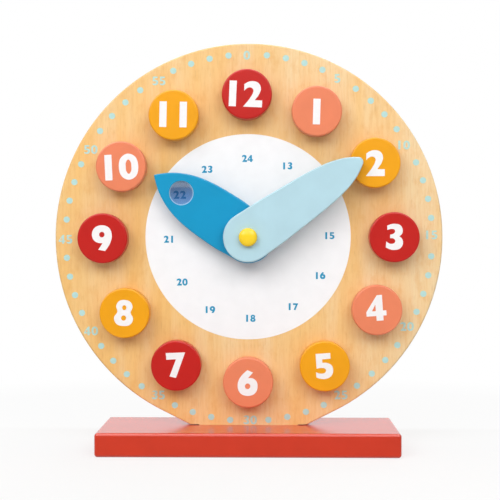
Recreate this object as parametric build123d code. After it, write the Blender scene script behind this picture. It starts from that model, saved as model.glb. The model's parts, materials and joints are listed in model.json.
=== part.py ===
from build123d import *
import math
import os

# Geared teaching clock: a round wooden board standing in a plank, with turnable
# pull-out number discs, two hands and a 12:1 reduction gear in a case behind it.
# Millimetres. Origin: centre of the plank's underside. +Z up, the dial faces -Y.
#
# Everything on the dial is modelled in the dial frame: +X right, +Y towards
# twelve o'clock, +Z out of the dial, zero at the centre of the board's front face.

# Plank
BASE_WIDTH = 190.0
BASE_DEPTH = 65.0
BASE_THICKNESS = 15.0
BASE_EDGE_RADIUS = 2.0
MORTISE_FLOOR = 3.0  # wood left under the board's tenon

# Board
BOARD_RADIUS = 125.0
BOARD_THICKNESS = 9.0
BOARD_EDGE_RADIUS = 1.0
FOOT_CUT = 3.8  # how much lower the full circle would reach than the plank's top
FOOT_FLARE = 7.61  # foot past the circle on each side, where it meets the plank
TENON_SHOULDER = 6.55  # foot left on each side of the tenon
SHOULDER_GAP = 0.5  # the tenon bottoms first, so the shoulders stay off the plank
JOINERY_CLEARANCE = 0.05  # each side of the tenon in its mortise

# Plank screws, driven up into the tenon
BASE_SCREW_RADIUS = 1.75
BASE_SCREW_LENGTH = 24.0
BASE_SCREW_HEAD_RADIUS = 3.6
BASE_SCREW_SINK = 0.3  # head below the plank's underside
BASE_SCREW_SPACING = 36.0
BASE_SCREW_SLOT_WIDTH = 0.9
BASE_SCREW_SLOT_DEPTH = 1.4

# Number discs and their pegs
DISC_RADIUS = 16.0
DISC_THICKNESS = 10.0
DISC_EDGE_RADIUS = 1.0
DISC_RIM_DISTANCE = 32.0  # disc centre to the board's rim
DISC_SHIFTS = {  # the peg holes are drilled by hand: right of and above an even ring
    1: (-2.8, -0.2),
    2: (0.3, 1.0),
    3: (0.0, 0.1),
    4: (1.5, 0.2),
    5: (2.3, -1.6),
    6: (-0.1, 0.4),
    7: (0.4, -1.4),
    8: (1.5, -1.9),
    9: (-0.1, -0.6),
    10: (-0.7, -1.3),
    11: (-1.1, -2.5),
    12: (-0.9, -1.8),
}
PEG_RADIUS = 4.0
PEG_IN_DISC = 6.5
PEG_END_GAP = 0.5  # peg below the board's rear face and above the disc's bore floor
PEG_CHAMFER = 0.6
PEG_CLEARANCE = 0.05

# Hands
MINUTE_HAND_ANGLE = 55.7  # degrees clockwise from twelve
HOUR_HAND_ANGLE = 303.5  # a degree behind the minute hand, within the gears' play
HAND_THICKNESS = 5.0
HAND_EDGE_RADIUS = 0.8
HAND_GAP = 2.0  # hour hand to minute hand
HAND_SWEEP_GAP = 1.5  # minute hand to the disc faces
HOUR_TIP_GAP = 5.1  # hour hand's tip to the discs' even ring
HOUR_HUB_RADIUS = 16.5
HOUR_BELLY = 17.5
HOUR_FULLNESS = 4.3
HOUR_TIP_RADIUS = 0.8
MINUTE_LENGTH = 87.7
MINUTE_HUB_RADIUS = 15.8
MINUTE_SHOULDER = 15.3
MINUTE_TIP_SIDE = 10.7
MINUTE_FULLNESS = 7.5
MINUTE_TIP_RADIUS = 3.2
SHOULDER_SHARE = 0.2  # of the hand's length, from its hub to its shoulder
OUTLINE_SHARES = (0.0, 0.1, 0.2, 0.32, 0.44, 0.56, 0.67, 0.77, 0.86, 0.94, 1.0)
WINDOW_RADIUS = 7.8
WINDOW_TO_TIP = 20.7  # window's centre to the hand's tip
WINDOW_EDGE = 3.4
WINDOW_DOME = 0.8
WINDOW_RECESS = 0.6  # window below the hand's back face
WINDOW_CLEARANCE = 0.02

# Knob
KNOB_RADIUS = 5.8
KNOB_HEIGHT = 4.6
KNOB_DOME = 2.4
KNOB_EDGE_RADIUS = 0.5

# Gear case
PLATE_THICKNESS = 2.5
CASE_WALL = 2.5
CASE_MARGIN = 5.5  # round the gears, inside the walls
CASE_CORNER_RADIUS = 8.0
CASE_EDGE_RADIUS = 1.2
NECK_RADIUS = 5.0
NECK_HOLE_CLEARANCE = 0.2
NECK_OVER_NUT = 0.4
WASHER_RADIUS = 10.0
WASHER_THICKNESS = 0.8
NUT_ACROSS_FLATS = 16.0
NUT_THICKNESS = 2.5
NECK_TO_HAND = 0.8
CASE_BOSS_RADIUS = 4.5
CASE_BOSS_INSET = 6.2  # from the case's outer faces
CASE_SCREW_RADIUS = 1.45
CASE_SCREW_HEAD_RADIUS = 2.8
CASE_SCREW_HEAD_HEIGHT = 1.9
CASE_SCREW_GRIP = 6.0  # boss length under the screw's head
CASE_SCREW_BITE = 6.5  # in the board
CASE_SCREW_WELL_GAP = 0.5
CASE_SCREW_SLOT_WIDTH = 0.7
CASE_SCREW_SLOT_DEPTH = 1.1
CASE_SCREW_POINT = 1.1  # chamfer at the tip
SCREW_CLEARANCE = 0.02
SCREW_PASS_CLEARANCE = 0.2
CASE_SCREW_WELL_RADIUS = CASE_SCREW_HEAD_RADIUS + CASE_SCREW_WELL_GAP

# Gears
MODULE = 0.8
PRESSURE_ANGLE = math.radians(25.0)
ADDENDUM = 1.0  # of the module
DEDENDUM = 1.25  # of the module
BACKLASH = 0.2
MINUTE_TEETH = 15
WHEEL_TEETH = 45
PINION_TEETH = 12
HOUR_TEETH = MINUTE_TEETH + WHEEL_TEETH - PINION_TEETH
WHEEL_THICKNESS = 4.0
PINION_OVERHANG = 1.0  # a pinion past its wheel, towards the plate
LAYER_GAP = 1.3  # between the two layers of gears
THRUST_GAP = 0.1
RUNNING_CLEARANCE = 0.06
HUB_WALL = 1.5
ARBOR_RADIUS = 2.0
ARBOR_END_RADIUS = 1.5
ARBOR_FLAT_DEPTH = 0.35
ARBOR_IN_KNOB = 3.0
ARBOR_IN_COVER = 1.2
PIPE_RADIUS = 3.5
PIPE_FLAT_DEPTH = 0.7
PIPE_RECESS = 0.2
STUD_RADIUS = 1.5
STUD_RECESS = 0.5
FIT_CLEARANCE = 0.02
SPACER_RADIUS = 5.0
SPRING_RADIUS = 4.4
SPRING_THICKNESS = 0.3
SPRING_RISE = 0.7

# Places that follow from the sizes
FOOT_DROP = BOARD_RADIUS - FOOT_CUT
FOOT_HALF_WIDTH = math.sqrt(BOARD_RADIUS**2 - FOOT_DROP**2) + FOOT_FLARE
DIAL_HEIGHT = BASE_THICKNESS + FOOT_DROP
DIAL = Plane(origin=(0, 0, DIAL_HEIGHT), x_dir=(1, 0, 0), z_dir=(0, -1, 0)).location
BOARD_MIDDLE = BOARD_THICKNESS / 2
MORTISE_DEPTH = BASE_THICKNESS - MORTISE_FLOOR
TENON_HALF_WIDTH = FOOT_HALF_WIDTH - TENON_SHOULDER
RING_RADIUS = BOARD_RADIUS - DISC_RIM_DISTANCE
HOUR_LENGTH = RING_RADIUS - DISC_RADIUS - HOUR_TIP_GAP
WINDOW_DISTANCE = HOUR_LENGTH - WINDOW_TO_TIP
NECK_TOP = WASHER_THICKNESS + NUT_THICKNESS + NECK_OVER_NUT
HOUR_BACK = NECK_TOP + NECK_TO_HAND
HOUR_FRONT = HOUR_BACK + HAND_THICKNESS
MINUTE_BACK = max(HOUR_FRONT + HAND_GAP, DISC_THICKNESS + HAND_SWEEP_GAP)
MINUTE_FRONT = MINUTE_BACK + HAND_THICKNESS
PLATE_REAR = -BOARD_THICKNESS - PLATE_THICKNESS
HOUR_WHEEL_FRONT = PLATE_REAR - THRUST_GAP - PINION_OVERHANG / 2
HOUR_WHEEL_REAR = HOUR_WHEEL_FRONT - WHEEL_THICKNESS
REDUCTION_FRONT = HOUR_WHEEL_REAR - LAYER_GAP
REDUCTION_REAR = REDUCTION_FRONT - WHEEL_THICKNESS
PINION_REAR = REDUCTION_REAR - PINION_OVERHANG
SPRING_REAR = PINION_REAR - SPRING_THICKNESS - SPRING_RISE - THRUST_GAP
CASE_FLOOR = SPRING_REAR - THRUST_GAP - HUB_WALL - ARBOR_IN_COVER
CASE_REAR = CASE_FLOOR - CASE_WALL
CENTRE_DISTANCE = MODULE * (MINUTE_TEETH + WHEEL_TEETH) / 2
HOUR_TIP_RADIUS_OF_WHEEL = MODULE * (HOUR_TEETH / 2 + ADDENDUM)
WHEEL_TIP_RADIUS = MODULE * (WHEEL_TEETH / 2 + ADDENDUM)
CASE_TOP = HOUR_TIP_RADIUS_OF_WHEEL + CASE_MARGIN + CASE_WALL
CASE_BOTTOM = -CENTRE_DISTANCE - WHEEL_TIP_RADIUS - CASE_MARGIN - CASE_WALL
CASE_HALF_WIDTH = max(HOUR_TIP_RADIUS_OF_WHEEL, WHEEL_TIP_RADIUS) + CASE_MARGIN + CASE_WALL
CASE_HEIGHT = CASE_TOP - CASE_BOTTOM
CASE_MIDDLE = (CASE_TOP + CASE_BOTTOM) / 2


def write(shape, node):
    """One sub-part to its own STEP file."""
    shape.label = node
    export_step(shape, f"parts/{node}.step")


def disc_places():
    """The number discs' numbers and centres in the dial frame, clockwise from one."""
    for number, (right, up) in DISC_SHIFTS.items():
        angle = 2 * math.pi * number / len(DISC_SHIFTS)
        x = RING_RADIUS * math.sin(angle) + right
        y = RING_RADIUS * math.cos(angle) + up
        yield number, Pos(x, y, 0)


def boss_places():
    """Centres of the four screw bosses in the case's corners."""
    side = CASE_HALF_WIDTH - CASE_BOSS_INSET
    rise = CASE_HEIGHT / 2 - CASE_BOSS_INSET
    return [
        Pos(x, CASE_MIDDLE + y, 0) for x in (-side, side) for y in (-rise, rise)
    ]


def cylinder(radius, low, high):
    """A cylinder on the local Z axis between two heights."""
    return Pos(0, 0, low) * extrude(Circle(radius), high - low)


def double_flat(radius, depth):
    """A circle with two flats, each cut to the given depth."""
    return Circle(radius) & Rectangle(2 * (radius - depth), 2 * radius)


# --- Wooden parts -----------------------------------------------------------------


def base_plank():
    """The plank, with a blind mortise for the board and two countersunk holes."""
    plank = Pos(0, 0, BASE_THICKNESS / 2) * Box(BASE_WIDTH, BASE_DEPTH, BASE_THICKNESS)
    plank = fillet(plank.edges(), BASE_EDGE_RADIUS)
    mortise = Box(
        2 * (TENON_HALF_WIDTH + JOINERY_CLEARANCE),
        BOARD_THICKNESS + 2 * JOINERY_CLEARANCE,
        MORTISE_DEPTH,
        align=(Align.CENTER, Align.CENTER, Align.MAX),
    )
    plank -= Pos(0, BOARD_MIDDLE, BASE_THICKNESS) * mortise
    mouth = cylinder(BASE_SCREW_HEAD_RADIUS + SCREW_CLEARANCE, 0, BASE_SCREW_SINK)
    for x in base_screw_xs():
        plank -= Pos(x, BOARD_MIDDLE, 0) * (base_screw_solid(SCREW_CLEARANCE) + mouth)
    return plank


def base_screw_xs():
    """Where the two plank screws stand along X."""
    return (-BASE_SCREW_SPACING / 2, BASE_SCREW_SPACING / 2)


def base_screw_solid(clearance=0.0):
    """A countersunk screw pointing up from the plank's underside, larger as a cutter."""
    head = BASE_SCREW_HEAD_RADIUS + clearance
    shank = BASE_SCREW_RADIUS + clearance
    low = BASE_SCREW_SINK
    neck = low + BASE_SCREW_HEAD_RADIUS - BASE_SCREW_RADIUS
    top = low + BASE_SCREW_LENGTH + clearance
    outline = Polyline(
        (0, low),
        (head, low),
        (shank, neck),
        (shank, top - BASE_SCREW_RADIUS),
        (0, top),
        close=True,
    )
    return revolve(Plane.XZ * make_face(outline), Axis.Z)


def base_screws():
    """The two plank screws, each with a cross recess in its head."""
    screws = []
    for x in base_screw_xs():
        screw = base_screw_solid()
        for turn in (0, 90):
            slot = Box(BASE_SCREW_HEAD_RADIUS, BASE_SCREW_SLOT_WIDTH, 2 * BASE_SCREW_SLOT_DEPTH)
            screw -= Pos(0, 0, BASE_SCREW_SINK) * Rot(0, 0, turn) * slot
        screws.append(Pos(x, BOARD_MIDDLE, 0) * screw)
    return Compound(screws)


def board_outline():
    """Circle, straight flanks tangent to it down to the foot, and the tenon below."""
    reach = math.hypot(FOOT_HALF_WIDTH, FOOT_DROP)
    towards_foot = math.atan2(FOOT_HALF_WIDTH, FOOT_DROP)
    tangent = towards_foot + math.acos(BOARD_RADIUS / reach)
    x = BOARD_RADIUS * math.sin(tangent)
    y = -BOARD_RADIUS * math.cos(tangent)
    foot = (FOOT_HALF_WIDTH, SHOULDER_GAP - FOOT_DROP)
    flanks = Polyline((-x, y), (-foot[0], foot[1]), foot, (x, y), close=True)
    return Circle(BOARD_RADIUS) + make_face(flanks)


def dial_board():
    """The board, its tenon, the peg holes, the neck hole and the screws' pilot holes."""
    board = extrude(board_outline(), -BOARD_THICKNESS)
    rim = [edge for edge in board.edges() if edge.center().Y > -FOOT_DROP + BOARD_EDGE_RADIUS]
    rim = [edge for edge in rim if abs(edge.tangent_at(0.5).Z) < 0.5]
    board = fillet(rim, BOARD_EDGE_RADIUS)
    tenon = Box(
        2 * TENON_HALF_WIDTH,
        MORTISE_DEPTH + BOARD_EDGE_RADIUS,
        BOARD_THICKNESS,
        align=(Align.CENTER, Align.MAX, Align.MAX),
    )
    board += Pos(0, -FOOT_DROP + BOARD_EDGE_RADIUS, 0) * tenon
    peg_hole = cylinder(PEG_RADIUS + PEG_CLEARANCE, -BOARD_THICKNESS, 0)
    for _, place in disc_places():
        board -= place * peg_hole
    board -= cylinder(NECK_RADIUS + NECK_HOLE_CLEARANCE, -BOARD_THICKNESS, 0)
    bite = CASE_SCREW_BITE + SCREW_CLEARANCE
    pilot = cylinder(CASE_SCREW_RADIUS + SCREW_CLEARANCE, -BOARD_THICKNESS, bite - BOARD_THICKNESS)
    for place in boss_places():
        board -= place * pilot
    board = DIAL * board
    for x in base_screw_xs():
        board -= Pos(x, BOARD_MIDDLE, 0) * base_screw_solid(SCREW_CLEARANCE)
    return board


def number_disc():
    """A disc with rounded edges and a blind bore for its peg, standing on z 0."""
    disc = fillet(cylinder(DISC_RADIUS, 0, DISC_THICKNESS).edges(), DISC_EDGE_RADIUS)
    return disc - cylinder(PEG_RADIUS + PEG_CLEARANCE, 0, PEG_IN_DISC + PEG_END_GAP)


def disc_peg():
    """The dowel that joins a disc to the board, chamfered at both ends."""
    peg = cylinder(PEG_RADIUS, PEG_END_GAP - BOARD_THICKNESS, PEG_IN_DISC)
    return chamfer(peg.edges().filter_by(GeomType.CIRCLE), PEG_CHAMFER)


# --- Hands ------------------------------------------------------------------------


def half_width(share, length, hub, shoulder, tip_side, fullness):
    """A hand's half width: sides running from hub to shoulder to tip, rounded off
    towards the tip by one minus a power of the share of its length."""
    if share < SHOULDER_SHARE:
        side = hub + (shoulder - hub) * share / SHOULDER_SHARE
    else:
        along = (share - SHOULDER_SHARE) / (1 - SHOULDER_SHARE)
        side = shoulder + (tip_side - shoulder) * along
    return side * (1 - share**fullness)


def hand_blank(length, hub, shoulder, tip_side, fullness, tip_radius):
    """A leaf-shaped hand pointing at twelve, from z 0 up, with rounded edges."""
    sharp = length + 0.41 * tip_radius  # the rounded tip ends this much earlier
    right = [
        (half_width(share, sharp, hub, shoulder, tip_side, fullness), share * sharp)
        for share in OUTLINE_SHARES
    ]
    left = [(-x, y) for x, y in right]
    start = (0, 1)
    end = (-1, 1)
    outline = [
        Spline(*right, tangents=(start, end)),
        Spline(*left, tangents=(start, (1, 1))),
        ThreePointArc(right[0], (0, -hub), left[0]),
    ]
    blank = extrude(make_face(outline), HAND_THICKNESS)
    tip = blank.edges().filter_by(Axis.Z).sort_by(Axis.Y)[-1]
    blank = fillet(tip, tip_radius)
    rim = [edge for edge in blank.edges() if abs(edge.tangent_at(0.5).Z) < 0.5]
    return fillet(rim, HAND_EDGE_RADIUS)


def hour_hand():
    """The hour hand, with its window's hole and a bore with two flats."""
    hand = hand_blank(
        HOUR_LENGTH, HOUR_HUB_RADIUS, HOUR_BELLY, HOUR_BELLY, HOUR_FULLNESS, HOUR_TIP_RADIUS
    )
    hand -= Pos(0, WINDOW_DISTANCE, 0) * cylinder(WINDOW_RADIUS, 0, HAND_THICKNESS)
    bore = double_flat(PIPE_RADIUS + FIT_CLEARANCE, PIPE_FLAT_DEPTH)
    hand -= extrude(bore, HAND_THICKNESS)
    return Pos(0, 0, HOUR_BACK) * Rot(0, 0, -HOUR_HAND_ANGLE) * hand


def hour_window():
    """The clear domed lens pressed into the hour hand."""
    radius = WINDOW_RADIUS - WINDOW_CLEARANCE
    low = WINDOW_RECESS
    rim = low + WINDOW_EDGE
    outline = [
        Polyline((0, rim + WINDOW_DOME), (0, low), (radius, low), (radius, rim)),
        RadiusArc((radius, rim), (0, rim + WINDOW_DOME), -dome_radius(radius, WINDOW_DOME)),
    ]
    lens = revolve(Plane.XZ * make_face(outline), Axis.Z)
    return Pos(0, 0, HOUR_BACK) * Rot(0, 0, -HOUR_HAND_ANGLE) * Pos(0, WINDOW_DISTANCE, 0) * lens


def dome_radius(radius, rise):
    """Radius of the sphere whose cap has the given rim radius and rise."""
    return (radius**2 + rise**2) / (2 * rise)


def minute_hand():
    """The minute hand, with a bore with two flats."""
    hand = hand_blank(
        MINUTE_LENGTH,
        MINUTE_HUB_RADIUS,
        MINUTE_SHOULDER,
        MINUTE_TIP_SIDE,
        MINUTE_FULLNESS,
        MINUTE_TIP_RADIUS,
    )
    bore = double_flat(ARBOR_END_RADIUS + FIT_CLEARANCE, ARBOR_FLAT_DEPTH)
    hand -= extrude(bore, HAND_THICKNESS)
    return Pos(0, 0, MINUTE_BACK) * Rot(0, 0, -MINUTE_HAND_ANGLE) * hand


def hand_spacer():
    """The washer on the arbor that keeps the two hands apart."""
    ring = Circle(SPACER_RADIUS) - Circle(ARBOR_RADIUS + FIT_CLEARANCE)
    low = HOUR_FRONT + THRUST_GAP
    return Pos(0, 0, low) * extrude(ring, MINUTE_BACK - low)


def centre_knob():
    """The domed knob, screwed on the arbor's end against the minute hand."""
    body = cylinder(KNOB_RADIUS, MINUTE_FRONT, MINUTE_FRONT + KNOB_HEIGHT - KNOB_DOME)
    ball = dome_radius(KNOB_RADIUS, KNOB_DOME)
    dome = Pos(0, 0, MINUTE_FRONT + KNOB_HEIGHT - ball) * Sphere(ball)
    knob = cylinder(KNOB_RADIUS, MINUTE_FRONT, MINUTE_FRONT + KNOB_HEIGHT) & dome
    knob = knob + body
    seat = knob.edges().filter_by(GeomType.CIRCLE).group_by(Axis.Z)[0]
    knob = fillet(seat, KNOB_EDGE_RADIUS)
    bore_end = MINUTE_FRONT + ARBOR_IN_KNOB + THRUST_GAP
    return knob - cylinder(ARBOR_END_RADIUS + FIT_CLEARANCE, MINUTE_FRONT, bore_end)


# --- Gears ------------------------------------------------------------------------


def involute(angle):
    """The involute function, tan a - a."""
    return math.tan(angle) - angle


def polar(radius, angle):
    """A point at a radius and an angle clockwise from the local Y axis."""
    return (radius * math.sin(angle), radius * math.cos(angle))


def toothed_disc(teeth, first_tooth=0.0):
    """A spur gear's outline with involute flanks; first_tooth is one tooth's angle."""
    pitch = MODULE * teeth / 2
    base = pitch * math.cos(PRESSURE_ANGLE)
    tip = pitch + MODULE * ADDENDUM
    root = pitch - MODULE * DEDENDUM
    half_tooth = (math.pi * MODULE - BACKLASH) / (4 * pitch)
    start = max(base, root)

    def half_angle(radius):
        """Half the tooth's angle at a radius on its involute flank."""
        turned = involute(math.acos(min(1.0, base / radius)))
        return half_tooth + involute(PRESSURE_ANGLE) - turned

    radii = [start + (tip - start) * step / 4 for step in range(5)]
    foot = half_angle(start)
    edges = []
    for tooth in range(teeth):
        middle = first_tooth + 2 * math.pi * tooth / teeth
        rise = [polar(radius, middle - half_angle(radius)) for radius in radii]
        fall = [polar(radius, middle + half_angle(radius)) for radius in reversed(radii)]
        edges.append(Spline(*rise))
        edges.append(ThreePointArc(rise[-1], polar(tip, middle), fall[0]))
        edges.append(Spline(*fall))
        gap_start = polar(root, middle + foot)
        gap_end = polar(root, middle + 2 * math.pi / teeth - foot)
        if start > root:
            edges.append(Line(fall[-1], gap_start))
            edges.append(Line(gap_end, polar(start, middle + 2 * math.pi / teeth - foot)))
        gap_middle = polar(root, middle + math.pi / teeth)
        edges.append(ThreePointArc(gap_start, gap_middle, gap_end))
    return make_face(edges)


def gear(teeth, low, high, first_tooth=0.0):
    """A solid gear between two heights in the dial frame."""
    return Pos(0, 0, low) * extrude(toothed_disc(teeth, first_tooth), high - low)


def minute_arbor():
    """The steel arbor: plain in the case and pipe, two flats and a thread in front."""
    arbor = cylinder(ARBOR_RADIUS, CASE_FLOOR, MINUTE_BACK)
    flats = double_flat(ARBOR_END_RADIUS, ARBOR_FLAT_DEPTH + FIT_CLEARANCE)
    arbor += Pos(0, 0, MINUTE_BACK) * Rot(0, 0, -MINUTE_HAND_ANGLE) * extrude(flats, HAND_THICKNESS)
    return arbor + cylinder(ARBOR_END_RADIUS, MINUTE_FRONT, MINUTE_FRONT + ARBOR_IN_KNOB)


def minute_pinion():
    """The small gear pressed on the arbor, a tooth pointing down at the wheel."""
    pinion = gear(MINUTE_TEETH, PINION_REAR, REDUCTION_FRONT + PINION_OVERHANG / 2, math.pi)
    collar = cylinder(ARBOR_RADIUS + HUB_WALL, REDUCTION_FRONT, HOUR_WHEEL_REAR - THRUST_GAP)
    bore = cylinder(ARBOR_RADIUS + FIT_CLEARANCE, PINION_REAR, HOUR_WHEEL_REAR)
    return pinion + collar - bore


def hour_wheel():
    """The big gear in one piece with its pipe, a gap between teeth pointing down."""
    gap_down = math.pi + math.pi / HOUR_TEETH
    wheel = gear(HOUR_TEETH, HOUR_WHEEL_REAR, HOUR_WHEEL_FRONT, gap_down)
    wheel += cylinder(PIPE_RADIUS + HUB_WALL, HOUR_WHEEL_REAR, PLATE_REAR - THRUST_GAP)
    wheel += cylinder(PIPE_RADIUS, HOUR_WHEEL_REAR, HOUR_BACK)
    flats = double_flat(PIPE_RADIUS, PIPE_FLAT_DEPTH + FIT_CLEARANCE)
    end = extrude(flats, HAND_THICKNESS - PIPE_RECESS)
    wheel += Pos(0, 0, HOUR_BACK) * Rot(0, 0, -HOUR_HAND_ANGLE) * end
    return wheel - cylinder(ARBOR_RADIUS + RUNNING_CLEARANCE, HOUR_WHEEL_REAR, HOUR_FRONT)


def reduction_wheel():
    """The wheel driven by the arbor and the pinion driving the hour wheel, in one."""
    wheel_gap_up = math.pi / WHEEL_TEETH
    wheel = gear(WHEEL_TEETH, REDUCTION_REAR, REDUCTION_FRONT, wheel_gap_up)
    wheel += gear(PINION_TEETH, REDUCTION_FRONT, PLATE_REAR - THRUST_GAP)
    wheel += cylinder(STUD_RADIUS + HUB_WALL, PINION_REAR, REDUCTION_REAR)
    bore = cylinder(STUD_RADIUS + RUNNING_CLEARANCE, PINION_REAR, PLATE_REAR)
    return Pos(0, -CENTRE_DISTANCE, 0) * (wheel - bore)


def reduction_stud():
    """The steel pin, held in plate and cover, that the reduction wheel turns on."""
    stud = cylinder(STUD_RADIUS, CASE_FLOOR, -BOARD_THICKNESS - STUD_RECESS)
    return Pos(0, -CENTRE_DISTANCE, 0) * stud


def friction_spring():
    """The dished washer that presses on the pinion, so that the hands stay put."""
    inner = ARBOR_RADIUS + RUNNING_CLEARANCE
    low = SPRING_REAR
    outline = Polyline(
        (inner, low),
        (SPRING_RADIUS, low + SPRING_RISE),
        (SPRING_RADIUS, low + SPRING_RISE + SPRING_THICKNESS),
        (inner, low + SPRING_THICKNESS),
        close=True,
    )
    return revolve(Plane.XZ * make_face(outline), Axis.Z)


# --- Gear case --------------------------------------------------------------------


def case_block(low, high, inset=0.0):
    """A block with the case's rounded rectangle as its section."""
    section = RectangleRounded(
        2 * (CASE_HALF_WIDTH - inset), CASE_HEIGHT - 2 * inset, CASE_CORNER_RADIUS - inset
    )
    return Pos(0, CASE_MIDDLE, low) * extrude(section, high - low)


def case_plate():
    """The plate on the board's rear face, with the neck that goes through the board."""
    plate = case_block(PLATE_REAR, -BOARD_THICKNESS)
    plate += cylinder(NECK_RADIUS, PLATE_REAR, NECK_TOP)
    plate -= cylinder(PIPE_RADIUS + RUNNING_CLEARANCE, PLATE_REAR, NECK_TOP)
    stud_hole = cylinder(STUD_RADIUS + FIT_CLEARANCE, PLATE_REAR, -BOARD_THICKNESS)
    plate -= Pos(0, -CENTRE_DISTANCE, 0) * stud_hole
    hole = cylinder(CASE_SCREW_RADIUS + SCREW_PASS_CLEARANCE, PLATE_REAR, -BOARD_THICKNESS)
    for place in boss_places():
        plate -= place * hole
    return plate


def case_cover():
    """The deep cover, with screw bosses in its corners and two bearing bosses."""
    cover = case_block(CASE_REAR, PLATE_REAR)
    rear_rim = cover.faces().sort_by(Axis.Z)[0].edges()
    cover = fillet(rear_rim, CASE_EDGE_RADIUS)
    cavity = case_block(CASE_FLOOR, PLATE_REAR, CASE_WALL)
    for place in boss_places():
        cavity -= place * cylinder(CASE_BOSS_RADIUS, CASE_FLOOR, PLATE_REAR)
    cover -= cavity
    arbor_boss = cylinder(ARBOR_RADIUS + HUB_WALL, CASE_FLOOR, SPRING_REAR - THRUST_GAP)
    arbor_bore = cylinder(ARBOR_RADIUS + RUNNING_CLEARANCE, CASE_FLOOR - THRUST_GAP, SPRING_REAR)
    cover = cover + arbor_boss - arbor_bore
    stud_boss = cylinder(STUD_RADIUS + HUB_WALL, CASE_FLOOR, PINION_REAR - THRUST_GAP)
    stud_bore = cylinder(STUD_RADIUS + FIT_CLEARANCE, CASE_FLOOR, PINION_REAR)
    cover += Pos(0, -CENTRE_DISTANCE, 0) * stud_boss
    cover -= Pos(0, -CENTRE_DISTANCE, 0) * stud_bore
    seat = PLATE_REAR - CASE_SCREW_GRIP
    hole = cylinder(CASE_SCREW_RADIUS + SCREW_PASS_CLEARANCE, seat, PLATE_REAR)
    well = cylinder(CASE_SCREW_WELL_RADIUS, CASE_REAR, seat)
    for place in boss_places():
        cover -= place * (hole + well)
    return cover


def case_screws():
    """The four pan-head screws through cover and plate into the board."""
    seat = PLATE_REAR - CASE_SCREW_GRIP
    tip = CASE_SCREW_BITE - BOARD_THICKNESS
    head = cylinder(CASE_SCREW_HEAD_RADIUS, seat - CASE_SCREW_HEAD_HEIGHT, seat)
    head = fillet(head.edges().group_by(Axis.Z)[0], CASE_SCREW_HEAD_HEIGHT / 2)
    shank = cylinder(CASE_SCREW_RADIUS, seat, tip)
    shank = chamfer(shank.edges().group_by(Axis.Z)[-1], CASE_SCREW_POINT)
    screw = head + shank
    for turn in (45, 135):
        slot = Box(CASE_SCREW_HEAD_RADIUS, CASE_SCREW_SLOT_WIDTH, 2 * CASE_SCREW_SLOT_DEPTH)
        screw -= Pos(0, 0, seat - CASE_SCREW_HEAD_HEIGHT) * Rot(0, 0, turn) * slot
    return Compound([place * screw for place in boss_places()])


def neck_washer():
    """The washer between the nut and the board."""
    ring = Circle(WASHER_RADIUS) - Circle(NECK_RADIUS + NECK_HOLE_CLEARANCE)
    return extrude(ring, WASHER_THICKNESS)


def neck_nut():
    """The flat hexagonal nut that draws the case's neck through the board."""
    outline = RegularPolygon(NUT_ACROSS_FLATS / 2, 6, major_radius=False)
    nut = extrude(outline - Circle(NECK_RADIUS + FIT_CLEARANCE), NUT_THICKNESS)
    return Pos(0, 0, WASHER_THICKNESS) * nut


def main():
    """Writes every sub-part."""
    os.makedirs("parts", exist_ok=True)
    write(base_plank(), "base_plank")
    write(base_screws(), "base_screws")
    write(dial_board(), "dial_board")
    for number, place in disc_places():
        write(DIAL * place * number_disc(), f"number_disc_{number:02d}")
        write(DIAL * place * disc_peg(), f"disc_peg_{number:02d}")
    on_dial = {
        "hour_hand": hour_hand,
        "hour_window": hour_window,
        "minute_hand": minute_hand,
        "hand_spacer": hand_spacer,
        "centre_knob": centre_knob,
        "minute_arbor": minute_arbor,
        "minute_pinion": minute_pinion,
        "hour_wheel": hour_wheel,
        "reduction_wheel": reduction_wheel,
        "reduction_stud": reduction_stud,
        "friction_spring": friction_spring,
        "case_plate": case_plate,
        "case_cover": case_cover,
        "case_screws": case_screws,
        "neck_washer": neck_washer,
        "neck_nut": neck_nut,
    }
    for node, make in on_dial.items():
        write(DIAL * make(), node)


main()
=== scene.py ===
import json
import math

import bmesh
import bpy
import numpy as np
from bpy.props import FloatProperty, FloatVectorProperty, PointerProperty
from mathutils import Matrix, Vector


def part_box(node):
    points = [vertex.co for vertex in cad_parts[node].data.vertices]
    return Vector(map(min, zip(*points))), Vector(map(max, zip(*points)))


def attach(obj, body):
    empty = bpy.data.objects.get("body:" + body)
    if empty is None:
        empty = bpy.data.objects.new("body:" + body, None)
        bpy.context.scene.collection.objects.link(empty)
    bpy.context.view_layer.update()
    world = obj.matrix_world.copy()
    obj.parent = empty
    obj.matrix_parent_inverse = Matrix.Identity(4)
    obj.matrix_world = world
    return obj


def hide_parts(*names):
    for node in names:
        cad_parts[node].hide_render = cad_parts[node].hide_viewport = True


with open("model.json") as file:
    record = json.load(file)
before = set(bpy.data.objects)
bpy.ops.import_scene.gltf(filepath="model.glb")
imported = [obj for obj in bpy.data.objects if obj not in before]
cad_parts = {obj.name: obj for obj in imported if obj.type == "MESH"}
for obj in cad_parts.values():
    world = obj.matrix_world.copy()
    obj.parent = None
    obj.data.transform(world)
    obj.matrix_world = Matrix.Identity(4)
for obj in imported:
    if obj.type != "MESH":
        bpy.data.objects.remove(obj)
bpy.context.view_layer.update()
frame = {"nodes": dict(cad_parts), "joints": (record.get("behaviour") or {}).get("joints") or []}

bl_info = {
    "name": "Geared teaching clock",
    "version": (1, 0, 0),
    "blender": (4, 5, 0),
    "location": "3D View > Sidebar > Clock",
    "description": "Prints, discs, hands, finishes and a studio for a wooden teaching clock",
    "category": "Object",
}

MM = 0.001
WHITE = (1.0, 1.0, 1.0, 1.0)
NODES = frame["nodes"]


def middle(node):
    """The centre of a CAD node's box."""
    low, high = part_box(node)
    return (low + high) / 2


def extent(node):
    """Half a CAD node's width along X, and how far its back and front stand out of the
    dial's face."""
    low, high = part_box(node)
    return (high.x - low.x) / 2, -high.y, -low.y


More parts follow.
